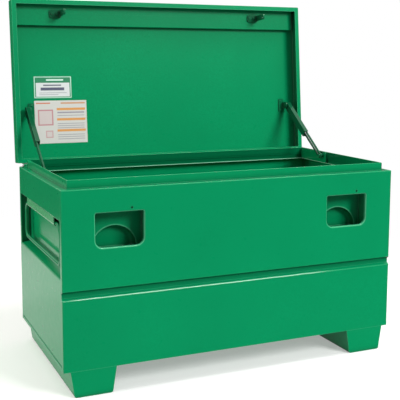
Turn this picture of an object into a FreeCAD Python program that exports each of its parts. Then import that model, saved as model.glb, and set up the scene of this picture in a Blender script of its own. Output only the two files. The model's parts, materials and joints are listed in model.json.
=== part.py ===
"""Steel jobsite storage box with its lid open: welded body on two skids, hinged pan lid, slotted lid stays,
drop handles in the end recesses and two padlock bays.  Millimetres, +Z up, front towards -Y."""
import FreeCAD, Part
import math
import os

# ---- driving dimensions -------------------------------------------------------------------------
length = 1219.2                 # left to right, 48 in
depth = 609.6                   # front to back, 24 in
body_height = 577.0             # floor underside to ledge
skid_height = 86.0
sheet = 1.5                     # body and lid sheet
bend_inside = 1.5               # inside radius of the folds

ledge_width = 26.0              # ledge outside the upstand
upstand_height = 27.0
hem_thickness = 3.0             # the upstand's sheet is folded double
hem_drop = 21.0                 # down to here, from its top
hem_roundness = 0.9             # share of the fold that is round
skirt_drop = 18.0               # inner skirt below the ledge
skirt_setback = 5.0             # skirt behind the inside of the hem
skirt_lip = 6.0                 # lip turned in at the foot of the skirt
ledge_turn_down = 2.0           # outer edge of the ledge, turned down onto the walls
ledge_edge_radius = 1.9
wall_return = 18.0              # front and rear panels turn round the corners by this much
pan_lip = 12.0                  # upturned edge of the floor pan
seam_gap = 1.0                  # joint line above the pan lip
joggle_start = 6.0              # the end panels step in behind the pan lip from here, above the joint line
joggle_run = 4.0

recess_top = 98.0               # end recess, measured down from the ledge
recess_bottom = 282.0
recess_depth = 35.0
recess_fall = 8.0               # the recess floor slopes outwards by this much

bead_top = 318.0                # pressed groove across the front, down from the ledge
bead_bottom = 348.0
bead_depth = 10.0
bead_slope = 8.0                # sloping flank of the groove

pocket_from_end = 188.6         # lock pocket centre from the end of the box
pocket_width = 160.0
pocket_height = 110.0
pocket_drop = 79.0              # top of the clear opening below the ledge
pocket_corner = 25.0            # bottom corners
pocket_top_corner = 4.0
pocket_roll = 6.0               # outside radius of the rolled edge
pocket_collar = 10.0            # the rolled edge reaches this far back
eye_hole_radius = 4.0           # small hole above each pocket
eye_hole_offset = 40.0
eye_hole_rise = 12.5            # above the clear opening

housing_sheet = 2.0
housing_width = 190.0
housing_depth = 64.0
housing_bottom = 207.0          # below the ledge
housing_flange = 12.0
arch_half_width = 75.0
arch_rise = 73.0
scoop_depth = 24.0
scoop_round = 16.0

tongue_thickness = 6.0
tongue_width = 22.0
tongue_setback = 48.0           # tongue centre behind the front face, lid shut
tongue_reach = 42.0             # below the lid's lower edge
tongue_corner = 8.0
eye_radius = 5.5                # padlock eye
eye_margin = 12.0               # eye centre above the tip
slot_clearance = 2.5            # before and behind the tongue in the housing top
slot_side_clearance = 1.5
tongue_foot_length = 38.0
tongue_foot_width = 30.0
tongue_bolt_margin = 10.0

lid_height = 55.0
lid_flange = 17.0               # flange turned in along the lid's lower edge
lid_gap = 3.0                   # lid edge above the ledge when shut
lid_edge_radius = 4.0
lid_open_angle = 95.2
stiffener_width = 93.0
stiffener_height = 20.0
stiffener_end_gap = 18.0
stiffener_front_gap = 3.0       # to the inside of the front rim

hinge_back = 12.5               # pin axis behind the rear face
hinge_below_lid = 6.0           # pin axis below the lid's lower edge
knuckle_radius = 9.5
hinge_pin_radius = 4.0
hinge_pin_clearance = 0.05
hinge_pin_play = 0.5            # the pin stands out of the last knuckles by this
hinge_head_height = 3.0
hinge_head_step = 2.0           # pin heads and leaf roots stay this far inside the knuckles
leaf_thickness = 3.0
leaf_lift = 0.5                 # the knuckle roots stand clear of the sheet behind them
leaf_height = 34.0              # each leaf, from the pin axis
leaf_gap = 1.0                  # a leaf stays this far from the other leaf's knuckles
knuckle_count = 19
knuckle_gap = 0.6
hinge_end_gap = 20.0
hinge_rivet_count = 10
rivet_radius = 1.98             # holes for 5/32 in rivets
rivet_head_radius = 4.2
rivet_head_height = 1.9

stay_radius = 210.0             # hinge pin to either end of a stay
stay_body_angle = 4.05          # the stud stands this far above the level of the pin, degrees
stay_fold_angle = 4.5           # left between the two ends when the lid is shut, degrees
stay_inset = 50.0               # middle of the stay from the end of the box
stay_channel_depth = 16.0
stay_channel_width = 28.0
stay_channel_length = 188.0
stay_sheet = 2.0
stay_bar_thickness = 5.0
stay_bar_width = 20.0
stay_bar_inset = 2.0            # bar inside the open side of the channel
stay_bar_shoulder = 2.0         # the bar narrows this far inside the end of the channel
stay_bar_tip = 8.0              # metal beyond the slot
stay_slot_spare = 1.0           # slot beyond the stud with the lid shut
stay_pin_radius = 3.0
stay_slot_clearance = 0.3
stay_head_radius = 6.5
stay_head_thickness = 2.4
stay_head_edge = 1.0
stay_collar_radius = 7.5
stay_bracket_thickness = 5.0
stay_bracket_length = 190.0
stay_bracket_front = 26.0       # plate in front of the stud
stay_bracket_top_gap = 2.0      # below the top of the upstand
stay_bracket_corner = 6.0
bracket_rivet_inset = 10.0      # from the rear edge
bracket_rivet_pitch = 60.0
bracket_rivet_count = 3
bracket_rivet_margin = 9.0      # below the top edge
stay_tab_thickness = 4.0
stay_tab_half_width = 13.0
stay_foot_length = 56.0
stay_foot_width = 22.0
stay_foot_margin = 9.0          # rivet centre from the end of the foot
stay_foot_corner = 5.0
side_play = 0.5                 # sideways play of the stay on its pins

handle_rod_radius = 6.35        # half-inch rod
handle_width = 500.0            # between the arm centres
handle_drop = 126.0             # rod axis in the strap to the grip
handle_top_bend = 38.0
handle_grip_bend = 28.0
handle_inset = 13.0             # rod axis from the end face
handle_axis_drop = 122.0        # below the ledge
handle_joint = 1.0              # half the gap between the rod's ends
strap_thickness = 2.5
strap_length = 390.0
strap_clearance = 0.3

skid_top_inner = 174.5          # skid edges from the end face, at the floor
skid_top_outer = 22.5
skid_foot_inner = 161.0         # and at the ground
skid_foot_outer = 35.5
skid_sheet = 3.0
skid_corner = 8.0
skid_setback = 0.5

card_thickness = 0.4
upper_card = (148.0, 86.0, 284.0)       # width, height, centre from the lid's rear edge
lower_card = (204.0, 164.0, 151.0)
card_left = 81.5                        # left edges from the end of the lid

bolt_radius = 3.1
bolt_head_radius = 5.7          # across the corners / 2
bolt_head_height = 4.0
bolt_bevel_slope = 1.55         # run of the bevelled top edge over its rise
touch_clearance = 0.1           # radial, round rivets and bolts

past = 1.0                      # cutters run past a face by this
near = 0.01                     # tolerance when picking edges

# ---- places worked out from them ----------------------------------------------------------------
half = length / 2
pocket_offset = half - pocket_from_end
floor_z = skid_height
ledge_z = floor_z + body_height
lid_low_z = ledge_z + lid_gap
lid_top_z = lid_low_z + lid_height
lid_inner_z = lid_top_z - sheet
open_angle = math.radians(lid_open_angle)

# the open lid leans back, so the middle of the whole box lies behind the middle of the body
edge_forward = -(depth + hinge_back - lid_edge_radius)
edge_up = hinge_below_lid + lid_height - lid_edge_radius
rear_reach = (depth + hinge_back + edge_forward * math.cos(open_angle) + edge_up * math.sin(open_angle)
              + lid_edge_radius)
front_y = -rear_reach / 2
rear_y = front_y + depth
hinge_y = rear_y + hinge_back
hinge_z = lid_low_z - hinge_below_lid
seam_z = floor_z + pan_lip + seam_gap

X_AXIS = FreeCAD.Vector(1, 0, 0)
Y_AXIS = FreeCAD.Vector(0, 1, 0)
Z_AXIS = FreeCAD.Vector(0, 0, 1)
hinge_point = FreeCAD.Vector(0, hinge_y, hinge_z)

os.makedirs("parts", exist_ok=True)


# ---- helpers ------------------------------------------------------------------------------------
def block(x0, y0, z0, x1, y1, z1):
    """Box between two corners."""
    low = FreeCAD.Vector(min(x0, x1), min(y0, y1), min(z0, z1))
    return Part.makeBox(abs(x1 - x0), abs(y1 - y0), abs(z1 - z0), low)


def rod_x(radius, x0, x1, y, z):
    """Cylinder along X."""
    return Part.makeCylinder(radius, abs(x1 - x0), FreeCAD.Vector(min(x0, x1), y, z), X_AXIS)


def rod_y(radius, y0, y1, x, z):
    """Cylinder along Y."""
    return Part.makeCylinder(radius, abs(y1 - y0), FreeCAD.Vector(x, min(y0, y1), z), Y_AXIS)


def rod_z(radius, z0, z1, x, y):
    """Cylinder along Z."""
    return Part.makeCylinder(radius, abs(z1 - z0), FreeCAD.Vector(x, y, min(z0, z1)), Z_AXIS)


def fuse(shapes):
    """One clean solid from several that meet."""
    joined = shapes[0]
    if len(shapes) > 1:
        joined = shapes[0].fuse(shapes[1:])
    return joined.removeSplitter()


def mirrored(shape):
    """The same piece on the other end of the box."""
    return shape.mirror(FreeCAD.Vector(0, 0, 0), X_AXIS)


def edges_where(shape, test):
    """Edges whose bounding box passes a test."""
    return [edge for edge in shape.Edges if test(edge.BoundBox)]


def rounded_outline(points, radii):
    """Edges of a closed 2-D outline (x, z) at y = 0 whose corners have their own radii."""
    count = len(points)
    edges = []
    starts = []
    ends = []
    mids = []
    for i in range(count):
        before = FreeCAD.Vector(points[i - 1][0], 0, points[i - 1][1])
        here = FreeCAD.Vector(points[i][0], 0, points[i][1])
        after = FreeCAD.Vector(points[(i + 1) % count][0], 0, points[(i + 1) % count][1])
        to_before = (before - here).normalize()
        to_after = (after - here).normalize()
        half_angle = to_before.getAngle(to_after) / 2
        inset = radii[i] / math.tan(half_angle)
        bisector = (to_before + to_after).normalize()
        centre = here + bisector * (radii[i] / math.sin(half_angle))
        starts.append(here + to_before * inset)
        ends.append(here + to_after * inset)
        mids.append(centre - bisector * radii[i])
    for i in range(count):
        if radii[i] > 0:
            edges.append(Part.Arc(starts[i], mids[i], ends[i]).toShape())
        edges.append(Part.LineSegment(ends[i], starts[(i + 1) % count]).toShape())
    return Part.Face(Part.Wire(edges))


def plate_xz(points, radii, y, thickness):
    """Plate with its outline in X and Z, its front at a place along Y."""
    face = rounded_outline(points, radii)
    face.translate(FreeCAD.Vector(0, y, 0))
    return face.extrude(FreeCAD.Vector(0, thickness, 0))


def folded_sheet(points, thickness, inside_radius, place, push):
    """Folded sheet: the points follow its outer face and the metal lies to their left."""
    path = [FreeCAD.Vector(u, v, 0) for u, v in points]
    outer = []
    inner = []
    first = (path[1] - path[0]).normalize()
    last = (path[-1] - path[-2]).normalize()
    outer_at = path[0]
    inner_at = path[0] + FreeCAD.Vector(-first.y, first.x, 0) * thickness
    inner_start = inner_at
    for i in range(1, len(path) - 1):
        into = (path[i] - path[i - 1]).normalize()
        out = (path[i + 1] - path[i]).normalize()
        turn = into.getAngle(out)
        left = into.x * out.y - into.y * out.x > 0
        outer_radius = inside_radius + thickness if left else inside_radius
        inner_radius = inside_radius if left else inside_radius + thickness
        run = outer_radius * math.tan(turn / 2)
        side = 1 if left else -1
        centre = path[i] - into * run + FreeCAD.Vector(-into.y, into.x, 0) * outer_radius * side
        begin = path[i] - into * run
        finish = path[i] + out * run
        middle = centre + (path[i] - centre).normalize() * outer_radius
        outer.append(Part.LineSegment(outer_at, begin).toShape())
        outer.append(Part.Arc(begin, middle, finish).toShape())
        share = inner_radius / outer_radius
        inner_begin = centre + (begin - centre) * share
        inner_middle = centre + (middle - centre) * share
        inner_finish = centre + (finish - centre) * share
        inner.append(Part.LineSegment(inner_at, inner_begin).toShape())
        inner.append(Part.Arc(inner_begin, inner_middle, inner_finish).toShape())
        outer_at = finish
        inner_at = inner_finish
    outer.append(Part.LineSegment(outer_at, path[-1]).toShape())
    inner_end = path[-1] + FreeCAD.Vector(-last.y, last.x, 0) * thickness
    inner.append(Part.LineSegment(inner_at, inner_end).toShape())
    caps = [Part.LineSegment(path[0], inner_start).toShape(), Part.LineSegment(path[-1], inner_end).toShape()]
    flat = Part.Face(Part.Wire(Part.__sortEdges__(outer + inner + caps)))
    flat.Placement = place
    return flat.extrude(push)


def plane_xy(z):
    """Section drawn in X and Y at a height."""
    return FreeCAD.Placement(FreeCAD.Vector(0, 0, z), FreeCAD.Rotation())


def plane_xz(y):
    """Section drawn in X and Z at a place along Y."""
    return FreeCAD.Placement(FreeCAD.Vector(0, y, 0), FreeCAD.Rotation(X_AXIS, 90))


def opened(shape):
    """Swings a piece drawn on the shut lid up to where the lid stands open."""
    moved = shape.copy()
    moved.rotate(hinge_point, X_AXIS, -lid_open_angle)
    return moved


def dome(face_point, direction):
    """Domed rivet head standing on a face."""
    ball_radius = (rivet_head_radius ** 2 + rivet_head_height ** 2) / (2 * rivet_head_height)
    ball = Part.makeSphere(ball_radius, face_point + direction * (rivet_head_height - ball_radius))
    return ball.common(Part.makeCylinder(rivet_head_radius, rivet_head_height + past, face_point, direction))


def rivet(face_point, direction, grip):
    """Domed rivet: its shank runs back from the face through the grip."""
    shank = Part.makeCylinder(rivet_radius - touch_clearance, grip, face_point - direction * grip, direction)
    return fuse([shank, dome(face_point, direction)])


def hex_bolt(face_point, direction, grip):
    """Hexagon-head bolt: its shank runs back from the face through the grip."""
    shank = Part.makeCylinder(bolt_radius - touch_clearance, grip, face_point - direction * grip, direction)
    across = FreeCAD.Vector(0, 0, 1) if abs(direction.z) < 0.5 else FreeCAD.Vector(1, 0, 0)
    aside = direction.cross(across)
    corners = []
    for step in range(7):
        angle = math.radians(60 * step)
        corners.append(face_point + across * bolt_head_radius * math.cos(angle)
                       + aside * bolt_head_radius * math.sin(angle))
    head = Part.Face(Part.makePolygon(corners)).extrude(direction * bolt_head_height)
    cone_height = bolt_head_height + bolt_head_radius
    cone = Part.makeCone(cone_height * bolt_bevel_slope, 0, cone_height, face_point, direction)
    return fuse([shank, head.common(cone)])


def save(shape, node):
    """Writes one node, after checking that its solids are sound."""
    solids = shape.Solids
    if not solids or not shape.isValid():
        raise ValueError("bad solid in " + node)
    whole = solids[0] if len(solids) == 1 else Part.makeCompound(solids)
    whole.exportStep("parts/" + node + ".step")


def save_pair(shape, name):
    """Writes the left piece and its mirror image on the right."""
    save(shape, "left_" + name)
    save(mirrored(shape), "right_" + name)


# ---- front panel --------------------------------------------------------------------------------
def groove_prism(grow, reach):
    """Groove with sloping flanks, open at both corners, grown by the sheet for its back face."""
    top = ledge_z - bead_top + grow
    bottom = ledge_z - bead_bottom - grow
    corners = []
    for into, z, way in ((-past, bottom, 1), (reach, bottom, 1), (reach, top, -1), (-past, top, -1)):
        slope = way * bead_slope * into / bead_depth
        corners.append(FreeCAD.Vector(-half - past, front_y + into, z + slope))
    corners.append(corners[0])
    return Part.Face(Part.makePolygon(corners)).extrude(FreeCAD.Vector(2 * (half + past), 0, 0))


def pocket_outline(centre_x, grow):
    """Lock pocket outline, grown evenly."""
    left = centre_x - pocket_width / 2 - grow
    right = centre_x + pocket_width / 2 + grow
    top = ledge_z - pocket_drop + grow
    bottom = ledge_z - pocket_drop - pocket_height - grow
    radii = [pocket_top_corner + grow, pocket_top_corner + grow, pocket_corner + grow, pocket_corner + grow]
    return rounded_outline([(left, top), (right, top), (right, bottom), (left, bottom)], radii)


def pocket_prism(centre_x, grow, y0, y1):
    """Prism of the pocket outline between two depths behind the front face."""
    face = pocket_outline(centre_x, grow)
    face.translate(FreeCAD.Vector(0, front_y + y0, 0))
    return face.extrude(FreeCAD.Vector(0, y1 - y0, 0))


def rolled_edge(centre_x):
    """Sheet rolled back round the pocket opening."""
    margin = pocket_roll + sheet

    def rounded_hole(grow, y0, radius):
        ring = pocket_prism(centre_x, margin, y0, pocket_collar).cut(
            pocket_prism(centre_x, grow, y0 - past, pocket_collar + past))
        front_edges = edges_where(ring, lambda box: (
            box.YMax < front_y + y0 + near and box.XMin > centre_x - pocket_width / 2 - grow - near
            and box.XMax < centre_x + pocket_width / 2 + grow + near
            and box.ZMin > ledge_z - pocket_drop - pocket_height - grow - near
            and box.ZMax < ledge_z - pocket_drop + grow + near))
        return ring.makeFillet(radius, front_edges)

    return rounded_hole(0, 0, pocket_roll).cut(rounded_hole(sheet, sheet, pocket_roll - sheet))


def front_panel():
    """Front sheet with its corner returns, groove and two rolled pocket openings."""
    top_z = ledge_z - ledge_turn_down
    return_y = front_y + wall_return
    outline = [(-half, return_y), (-half, front_y), (half, front_y), (half, return_y)]
    push = FreeCAD.Vector(0, 0, top_z - floor_z)
    panel = folded_sheet(outline, sheet, bend_inside, plane_xy(floor_z), push)
    for side in (-1, 1):
        panel = panel.cut(block(side * (half + past), front_y + sheet, floor_z - past,
                                side * (half - sheet - bend_inside), return_y + past, seam_z))
    panel = panel.fuse(groove_prism(sheet, bead_depth + sheet).common(
        block(-half, front_y, floor_z, half, front_y + bead_depth + 2 * sheet, top_z)))
    panel = panel.cut(groove_prism(0, bead_depth))
    for side in (-1, 1):
        centre_x = side * pocket_offset
        panel = panel.cut(pocket_prism(centre_x, pocket_roll + sheet, -past, sheet + past))
        panel = panel.fuse(rolled_edge(centre_x))
        panel = panel.cut(rod_y(eye_hole_radius, front_y - past, front_y + sheet + past,
                                centre_x + eye_hole_offset, ledge_z - pocket_drop + eye_hole_rise))
    return panel.removeSplitter()


def rear_panel():
    """Plain rear sheet with its corner returns and rivet holes for the hinge."""
    top_z = ledge_z - ledge_turn_down
    return_y = rear_y - wall_return
    outline = [(half, return_y), (half, rear_y), (-half, rear_y), (-half, return_y)]
    push = FreeCAD.Vector(0, 0, top_z - floor_z)
    panel = folded_sheet(outline, sheet, bend_inside, plane_xy(floor_z), push)
    for side in (-1, 1):
        panel = panel.cut(block(side * (half + past), rear_y - sheet, floor_z - past,
                                side * (half - sheet - bend_inside), return_y - past, seam_z))
    for x in hinge_rivet_places():
        panel = panel.cut(rod_y(rivet_radius, rear_y - sheet - past, rear_y + past, x, body_leaf_rivet_z))
    return panel


# ---- ends ---------------------------------------------------------------------------------------
def left_side_panel():
    """End sheet folded in to form the handle recess and joggled in behind the pan lip."""
    joggle = sheet + touch_clearance
    points = [
        (-half, ledge_z - ledge_turn_down),
        (-half, ledge_z - recess_top),
        (-half + recess_depth, ledge_z - recess_top),
        (-half + recess_depth, ledge_z - recess_bottom + recess_fall),
        (-half, ledge_z - recess_bottom),
        (-half, seam_z + joggle_start),
        (-half + joggle, seam_z + joggle_start - joggle_run),
        (-half + joggle, floor_z + sheet + bend_inside),
    ]
    return folded_sheet(points, sheet, bend_inside, plane_xz(rear_y - wall_return),
                        FreeCAD.Vector(0, 2 * wall_return - depth, 0))


def left_recess_ends():
    """Plates that close the two ends of the handle recess."""
    top = ledge_z - recess_top + sheet
    bottom = ledge_z - recess_bottom - sheet
    outline = [(-half + sheet, top), (-half + recess_depth + sheet, top),
               (-half + recess_depth + sheet, bottom + recess_fall), (-half + sheet, bottom)]
    return Part.makeCompound([plate_xz(outline, [0, 0, 0, 0], y, sheet)
                              for y in (front_y + wall_return - sheet, rear_y - wall_return)])


def floor_pan():
    """Floor sheet with its edges turned up."""
    outline = [(-half, floor_z + pan_lip), (-half, floor_z), (half, floor_z), (half, floor_z + pan_lip)]
    pan = folded_sheet(outline, sheet, bend_inside, plane_xz(rear_y - sheet),
                       FreeCAD.Vector(0, 2 * sheet - depth, 0))
    inner = half - 2 * sheet - bend_inside
    front_lip = block(-inner, front_y + sheet, floor_z, inner, front_y + 2 * sheet, floor_z + pan_lip)
    rear_lip = block(-inner, rear_y - 2 * sheet, floor_z, inner, rear_y - sheet, floor_z + pan_lip)
    return fuse([pan, front_lip, rear_lip])


# ---- rim ----------------------------------------------------------------------------------------
def ring(outer_inset, inner_inset, z0, z1):
    """Rectangular ring between two insets from the outside of the box."""
    outer = block(-half + outer_inset, front_y + outer_inset, z0,
                  half - outer_inset, rear_y - outer_inset, z1)
    inner = block(-half + inner_inset, front_y + inner_inset, z0 - past,
                  half - inner_inset, rear_y - inner_inset, z1 + past)
    return outer.cut(inner)


def rim_frame():
    """Ledge, upstand and inner skirt in one frame."""
    cap = block(-half, front_y, ledge_z - ledge_turn_down, half, rear_y, ledge_z)
    upright = edges_where(cap, lambda box: box.ZLength > ledge_turn_down - near)
    cap = cap.makeFillet(bend_inside + sheet, upright)
    cap = cap.makeFillet(ledge_edge_radius, edges_where(cap, lambda box: box.ZMin > ledge_z - near))
    hollow = block(-half + sheet, front_y + sheet, ledge_z - ledge_turn_down - past,
                   half - sheet, rear_y - sheet, ledge_z - sheet)
    web_inner = ledge_width + sheet
    hem_inner = ledge_width + hem_thickness
    skirt_inner = hem_inner - skirt_setback
    top_z = ledge_z + upstand_height
    mouth = block(-half + web_inner, front_y + web_inner, ledge_z - 2 * skirt_drop,
                  half - web_inner, rear_y - web_inner, ledge_z + past)
    hem = ring(ledge_width, hem_inner, top_z - hem_drop, top_z)
    hem = hem.makeFillet(hem_roundness * hem_thickness / 2,
                         edges_where(hem, lambda box: box.ZMin > top_z - near))
    web = ring(ledge_width, web_inner, ledge_z - sheet, top_z - hem_drop + past)
    skirt = ring(skirt_inner - sheet, skirt_inner, ledge_z - skirt_drop, ledge_z)
    lip = ring(skirt_inner - sheet, hem_inner + skirt_lip, ledge_z - skirt_drop, ledge_z - skirt_drop + sheet)
    return fuse([cap.cut(hollow).cut(mouth), hem, web, skirt, lip])


# ---- skids --------------------------------------------------------------------------------------
def left_skid():
    """Trapezoid channel under one end of the floor."""
    points = [(-half + skid_top_outer, floor_z), (-half + skid_foot_outer, 0),
              (-half + skid_foot_inner, 0), (-half + skid_top_inner, floor_z)]
    channel = folded_sheet(points, skid_sheet, skid_corner - skid_sheet,
                           plane_xz(rear_y - skid_setback - skid_sheet),
                           FreeCAD.Vector(0, 2 * (skid_setback + skid_sheet) - depth, 0))
    return channel.cut(block(-half, front_y, floor_z, 0, rear_y, floor_z + skid_sheet))


def left_skid_caps():
    """End plates of one skid."""
    points = [(-half + skid_top_outer, floor_z), (-half + skid_top_inner, floor_z),
              (-half + skid_foot_inner, 0), (-half + skid_foot_outer, 0)]
    return Part.makeCompound([plate_xz(points, [0, 0, skid_corner, skid_corner], y, skid_sheet)
                              for y in (front_y + skid_setback, rear_y - skid_setback - skid_sheet)])


# ---- lock bays ----------------------------------------------------------------------------------
housing_x = -pocket_offset
tongue_y = front_y + tongue_setback
housing_back_y = front_y + sheet + housing_depth
housing_top_z = ledge_z - skirt_drop
arch_base_z = ledge_z - housing_bottom + housing_sheet


def arch(grow, y0, y1):
    """Half-oval standing on the housing floor, pushed back between two depths."""
    half_width = arch_half_width + grow
    rise = arch_rise + grow
    centre = FreeCAD.Vector(housing_x, y0, arch_base_z)
    oval = Part.Ellipse(centre, half_width, rise)
    oval.Axis = FreeCAD.Vector(0, -1, 0)
    oval.XAxis = X_AXIS
    curve = oval.toShape(0, math.pi)
    start = curve.Vertexes[0].Point
    end = curve.Vertexes[-1].Point
    base = [end, start]
    if grow > 0:
        base = [end, end - Z_AXIS * grow, start - Z_AXIS * grow, start]
    return Part.Face(Part.Wire([curve] + Part.makePolygon(base).Edges)).extrude(FreeCAD.Vector(0, y1 - y0, 0))


def left_lock_housing():
    """Welded box behind the pocket: open to the front, slotted on top, arched at the back."""
    x0 = housing_x - housing_width / 2
    x1 = housing_x + housing_width / 2
    y0 = front_y + sheet
    z0 = ledge_z - housing_bottom
    shell = block(x0, y0, z0, x1, housing_back_y, housing_top_z).cut(
        block(x0 + housing_sheet, y0 - past, z0 + housing_sheet, x1 - housing_sheet,
              housing_back_y - housing_sheet, housing_top_z - housing_sheet))
    flange = block(x0 - housing_flange, y0, z0 - housing_flange, x1 + housing_flange, y0 + housing_sheet,
                   housing_top_z)
    flange = flange.cut(block(x0, y0 - past, z0, x1, y0 + housing_sheet + past, housing_top_z + past))
    slot_x = tongue_thickness / 2 + slot_side_clearance
    slot_y = tongue_width / 2 + slot_clearance
    slot = block(housing_x - slot_x, tongue_y - slot_y, housing_top_z - housing_sheet - past,
                 housing_x + slot_x, tongue_y + slot_y, housing_top_z + past)
    opening = arch(0, housing_back_y - housing_sheet - past, housing_back_y + past)
    return fuse([shell, flange]).cut(slot).cut(opening)


def left_lock_scoop():
    """Shallow hollow pan behind the arch."""
    outer = arch(housing_sheet, housing_back_y, housing_back_y + scoop_depth + housing_sheet)
    outer_back = housing_back_y + scoop_depth + housing_sheet
    inner_back = housing_back_y + scoop_depth
    outer = outer.makeFillet(scoop_round + housing_sheet, edges_where(outer, lambda box: (
        box.YMin > outer_back - near and box.ZMax > arch_base_z + past and box.XLength > arch_half_width)))
    inner = arch(0, housing_back_y - past, inner_back)
    inner = inner.makeFillet(scoop_round, edges_where(inner, lambda box: (
        box.YMin > inner_back - near and box.ZMax > arch_base_z + past and box.XLength > arch_half_width)))
    return outer.cut(inner)


# ---- hinge --------------------------------------------------------------------------------------
hinge_length = length - 2 * hinge_end_gap
knuckle_pitch = hinge_length / knuckle_count
leaf_clear = knuckle_radius + leaf_gap
body_leaf_rivet_z = hinge_z - (leaf_height + leaf_clear) / 2
lid_leaf_rivet_z = hinge_z + (leaf_height + leaf_clear) / 2
barrel_bore = hinge_pin_radius + hinge_pin_clearance
root_reach = knuckle_radius - hinge_head_step


def hinge_rivet_places():
    """Rivet positions along the hinge."""
    step = hinge_length / hinge_rivet_count
    return [-hinge_length / 2 + step * (i + 0.5) for i in range(hinge_rivet_count)]


def hinge_leaf(up, first_knuckle):
    """Leaf lying on the sheet with every other knuckle."""
    away = 1 if up else -1
    plate = block(-hinge_length / 2, rear_y, hinge_z + away * leaf_clear,
                  hinge_length / 2, rear_y + leaf_thickness, hinge_z + away * leaf_height)
    pieces = [plate]
    root_y = rear_y + leaf_lift
    for i in range(first_knuckle, knuckle_count, 2):
        x0 = -hinge_length / 2 + i * knuckle_pitch + knuckle_gap / 2
        x1 = x0 + knuckle_pitch - knuckle_gap
        pieces.append(rod_x(knuckle_radius, x0, x1, hinge_y, hinge_z))
        pieces.append(block(x0, root_y, hinge_z, x1, rear_y + leaf_thickness, hinge_z + away * leaf_clear))
        pieces.append(block(x0, root_y, hinge_z, x1, hinge_y, hinge_z + away * root_reach))
    leaf = fuse(pieces)
    leaf = leaf.cut(rod_x(barrel_bore, -half, half, hinge_y, hinge_z))
    rivet_z = lid_leaf_rivet_z if up else body_leaf_rivet_z
    for x in hinge_rivet_places():
        leaf = leaf.cut(rod_y(rivet_radius, rear_y - past, rear_y + leaf_thickness + past, x, rivet_z))
    return leaf


def hinge_pin():
    """Full-length pin with a head at each end."""
    end = hinge_length / 2 + hinge_pin_play
    head_end = end + hinge_head_height
    return fuse([rod_x(hinge_pin_radius, -end, end, hinge_y, hinge_z),
                 rod_x(root_reach, -head_end, -end, hinge_y, hinge_z),
                 rod_x(root_reach, end, head_end, hinge_y, hinge_z)])


def hinge_rivets(rivet_z):
    """Row of domed rivets through a leaf and the sheet under it."""
    rivets = []
    for x in hinge_rivet_places():
        face = FreeCAD.Vector(x, rear_y + leaf_thickness, rivet_z)
        rivets.append(rivet(face, Y_AXIS, leaf_thickness + sheet))
    return Part.makeCompound(rivets)


# ---- lid ----------------------------------------------------------------------------------------
def lid_pan():
    """Shut lid: top, four rims and the flange turned in along the lower edge."""
    pan = block(-half, front_y, lid_low_z, half, rear_y, lid_top_z)
    pan = pan.makeFillet(lid_edge_radius, edges_where(pan, lambda box: (
        box.ZMin > lid_top_z - near or box.ZLength > lid_height - past)))
    cavity = block(-half + sheet, front_y + sheet, lid_low_z + sheet,
                   half - sheet, rear_y - sheet, lid_inner_z)
    cavity = cavity.makeFillet(lid_edge_radius - sheet, edges_where(cavity, lambda box: (
        box.ZMin > lid_inner_z - near or box.ZLength > lid_height - 3 * sheet)))
    mouth = block(-half + lid_flange, front_y + lid_flange, lid_low_z - past,
                  half - lid_flange, rear_y - lid_flange, lid_low_z + sheet + past)
    pan = pan.cut(cavity).cut(mouth)
    for x in hinge_rivet_places():
        pan = pan.cut(rod_y(rivet_radius, rear_y - sheet - past, rear_y + past, x, lid_leaf_rivet_z))
    return pan


stiffener_face_z = lid_inner_z - stiffener_height
stiffener_front_y = front_y + sheet + stiffener_front_gap


def lid_stiffener():
    """Channel along the front of the lid that carries the lock tongues."""
    end = half - stiffener_end_gap
    rear = front_y + stiffener_width
    points = [(rear, lid_inner_z), (rear, stiffener_face_z), (stiffener_front_y, stiffener_face_z),
              (stiffener_front_y, lid_inner_z)]
    flat = FreeCAD.Placement(FreeCAD.Vector(end, 0, 0), FreeCAD.Rotation(FreeCAD.Vector(1, 1, 1), 120))
    channel = folded_sheet([(u, v) for u, v in reversed(points)], sheet, bend_inside, flat,
                           FreeCAD.Vector(-2 * end, 0, 0))
    for tongue_x in (-pocket_offset, pocket_offset):
        for x in tongue_bolt_places(tongue_x):
            channel = channel.cut(rod_z(bolt_radius, stiffener_face_z - past, stiffener_face_z + sheet + past,
                                        x, tongue_y))
    return channel


tongue_tip_z = lid_low_z - tongue_reach


def tongue_bolt_places(tongue_x):
    """The two bolts of a tongue, along the box."""
    side = tongue_x - tongue_thickness / 2
    return [side - tongue_bolt_margin, side - tongue_foot_length + tongue_bolt_margin]


def lock_tongue(tongue_x):
    """Tongue with the padlock eye and the foot that bolts to the stiffener."""
    x0 = tongue_x - tongue_thickness / 2
    x1 = tongue_x + tongue_thickness / 2
    blade = block(x0, tongue_y - tongue_width / 2, tongue_tip_z,
                  x1, tongue_y + tongue_width / 2, stiffener_face_z)
    blade = blade.makeFillet(tongue_corner, edges_where(blade, lambda box: (
        box.ZMax < tongue_tip_z + near and box.XLength > tongue_thickness - near)))
    foot_low = stiffener_face_z - tongue_thickness
    foot = block(x0 - tongue_foot_length, tongue_y - tongue_foot_width / 2, foot_low,
                 x1, tongue_y + tongue_foot_width / 2, stiffener_face_z)
    foot = foot.makeFillet(tongue_corner, edges_where(foot, lambda box: (
        box.XMax < x0 - past and box.ZLength > tongue_thickness - near)))
    tongue = fuse([blade, foot])
    tongue = tongue.cut(rod_x(eye_radius, x0 - past, x1 + past, tongue_y, tongue_tip_z + eye_margin))
    for x in tongue_bolt_places(tongue_x):
        tongue = tongue.cut(rod_z(bolt_radius, foot_low - past, stiffener_face_z + past, x, tongue_y))
    return tongue


def tongue_bolts(tongue_x):
    """Two bolts through the foot of a tongue."""
    down = FreeCAD.Vector(0, 0, -1)
    face_z = stiffener_face_z - tongue_thickness
    return Part.makeCompound([hex_bolt(FreeCAD.Vector(x, tongue_y, face_z), down, tongue_thickness + sheet)
                              for x in tongue_bolt_places(tongue_x)])


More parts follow.
